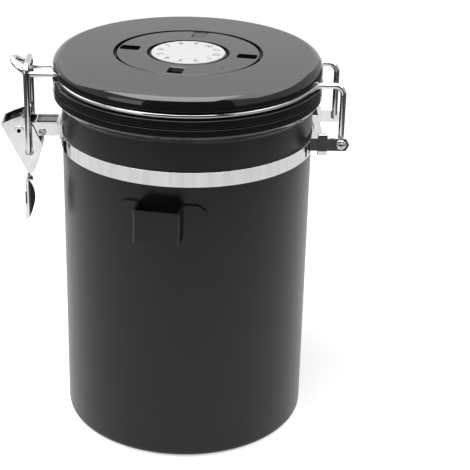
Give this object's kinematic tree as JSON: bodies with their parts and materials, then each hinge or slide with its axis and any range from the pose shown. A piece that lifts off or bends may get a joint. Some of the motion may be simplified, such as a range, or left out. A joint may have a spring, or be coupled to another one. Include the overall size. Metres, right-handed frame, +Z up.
{
  "type": "coffee canister with valve",
  "caption": "Round black storage canister with a domed hinged lid, wire-bail latch, one-way gas valve, turning date ring and a scoop holder on its side.",
  "frame": {"origin": "centre of the flat base", "axes": "+Z up through the lid, +X towards the hinge, -X towards the latch"},
  "size_m": [0.1653, 0.1349, 0.188],
  "materials": {
    "matte_black_paint": "matte powder coat",
    "black_moulding": "gloss",
    "chrome": "polished and fine-brushed",
    "brushed_steel": "brushed",
    "white_dial": "matte with grey print",
    "gasket_rubber": "matte",
    "filter_felt": "felt"
  },
  "bodies": {
    "canister": {"canister_shell": "matte_black_paint", "base_plate": "brushed_steel", "mouth_collar": "black_moulding", "neck_band": "chrome", "latch_foot": "chrome", "latch_bracket": "chrome", "latch_bracket_rivet": "chrome", "hinge_bracket": "chrome", "hinge_sleeves": "chrome", "scoop_holder": "matte_black_paint"},
    "lid": {"lid_cover": "black_moulding", "lid_base": "black_moulding", "lid_gasket": "gasket_rubber", "lid_ring_wire": "chrome", "lid_screws": "brushed_steel", "date_dial": "white_dial", "dial_hub": "black_moulding", "hub_screw": "brushed_steel", "valve_seat": "black_moulding", "valve_cap": "black_moulding", "filter_disc": "filter_felt", "filter_retainer": "black_moulding"},
    "date_ring": {"date_ring": "black_moulding"},
    "valve": {"valve_disc": "gasket_rubber"},
    "lever": {"latch_lever": "chrome", "lever_pivot_rivet": "chrome"},
    "bail": {"bail_wire": "chrome"}
  },
  "joints": [
    {"name": "lid_hinge", "type": "hinge", "parent": "canister", "child": "lid", "pos_m": [0.0726, 0, 0.1495], "axis": [0, 1, 0], "range_deg": [0, 105]},
    {"name": "date_ring_spin", "type": "hinge", "parent": "lid", "child": "date_ring", "pos_m": [0, 0, 0.1863], "axis": [0, 0, 1], "continuous": true},
    {"name": "valve_lift", "type": "slide", "parent": "lid", "child": "valve", "axis": [0, 0, 1], "range_m": [0, 0.0008]},
    {"name": "lever_swing", "type": "hinge", "parent": "canister", "child": "lever", "pos_m": [-0.0802, 0, 0.15], "axis": [0, 1, 0], "range_deg": [0, 120]},
    {"name": "bail_swing", "type": "hinge", "parent": "lever", "child": "bail", "pos_m": [-0.0756, 0, 0.1394], "axis": [0, 1, 0], "range_deg": [-90, 5]}
  ],
  "couplings": [
    {"joint": "bail_swing", "follows": "lever_swing", "ratio": -0.71}
  ]
}
